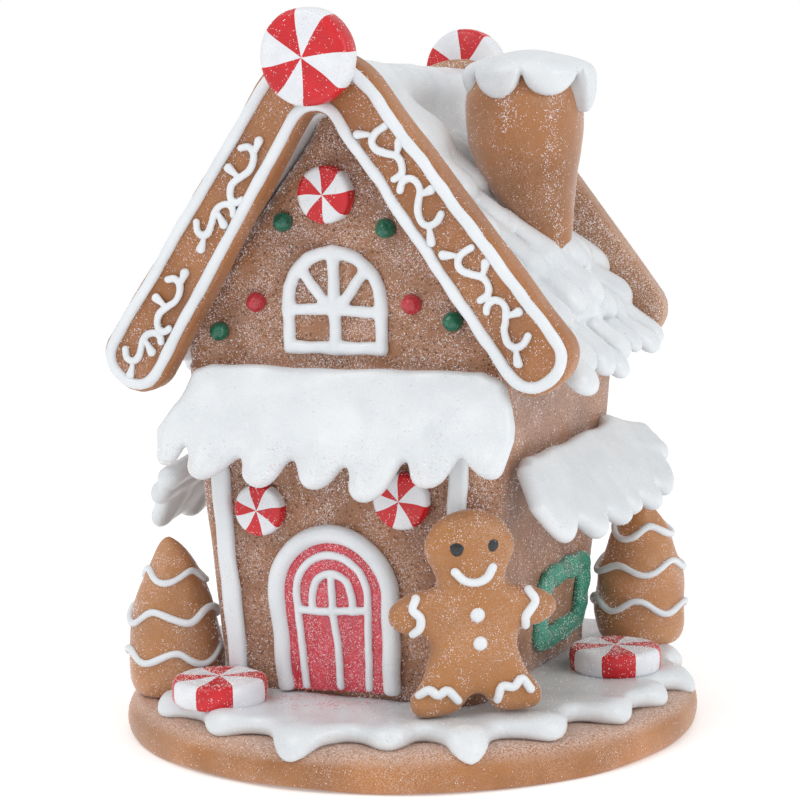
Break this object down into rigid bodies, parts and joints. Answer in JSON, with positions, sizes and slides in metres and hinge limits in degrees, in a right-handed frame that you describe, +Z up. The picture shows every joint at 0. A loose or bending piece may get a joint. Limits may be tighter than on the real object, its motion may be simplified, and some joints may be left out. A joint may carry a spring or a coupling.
{
  "type": "gingerbread house decoration",
  "caption": "Clay-dough gingerbread house on a round cookie base, with scalloped icing roof and awnings, peppermints, a chimney, a cookie figure and cone trees.",
  "frame": {"origin": "centre of the base's flat underside", "axes": "+Z up, -Y towards the front with the door, +X towards the house's right side as seen from the front"},
  "size_m": [0.16, 0.16, 0.1931],
  "materials": {
    "clay": "baked gingerbread-brown clay dough, dusted with clear glitter",
    "icing": "smooth white clay icing with a soft sheen",
    "peppermint": "white and red wedges with fine glitter",
    "red": "red clay, the door thick with glitter",
    "green": "green clay with glitter",
    "black": "glossy bead"
  },
  "bodies": {
    "root": {"base": "clay", "ground_snow": "icing", "house_body": "clay", "roof_icing": "icing", "gable_board_front": "clay", "board_piping_front": "icing", "scroll_upper_left": "icing", "scroll_lower_left": "icing", "scroll_upper_right": "icing", "scroll_lower_right": "icing", "mint_peak_front": "peppermint", "gable_board_rear": "clay", "board_piping_rear": "icing", "mint_peak_rear": "peppermint", "chimney": "clay", "chimney_icing": "icing", "awning_front": "icing", "corner_strip_left": "icing", "corner_strip_right": "icing", "door_frame": "icing", "door_panel": "red", "door_piping": "icing", "mint_door_left": "peppermint", "mint_door_right": "peppermint", "awning_rear": "icing", "gable_window_front": "icing", "mint_gable": "peppermint", "bead_green_1": "green", "bead_green_2": "green", "bead_green_3": "green", "bead_green_4": "green", "bead_red_1": "red", "bead_red_2": "red", "gable_window_rear": "icing", "awning_right": "icing", "side_frame_right": "green", "awning_left": "icing", "side_frame_left": "green", "mint_ground_left": "peppermint", "mint_ground_right": "peppermint", "man_body": "clay", "man_eye_left": "black", "man_eye_right": "black", "man_button_upper": "icing", "man_button_lower": "icing", "man_mouth": "icing", "man_cuff_hand_left": "icing", "man_cuff_hand_right": "icing", "man_cuff_foot_left": "icing", "man_cuff_foot_right": "icing", "tree_left": "clay", "tree_band_left_1": "icing", "tree_band_left_2": "icing", "tree_band_left_3": "icing", "tree_right": "clay", "tree_band_right_1": "icing", "tree_band_right_2": "icing", "tree_band_right_3": "icing"}
  },
  "joints": []
}
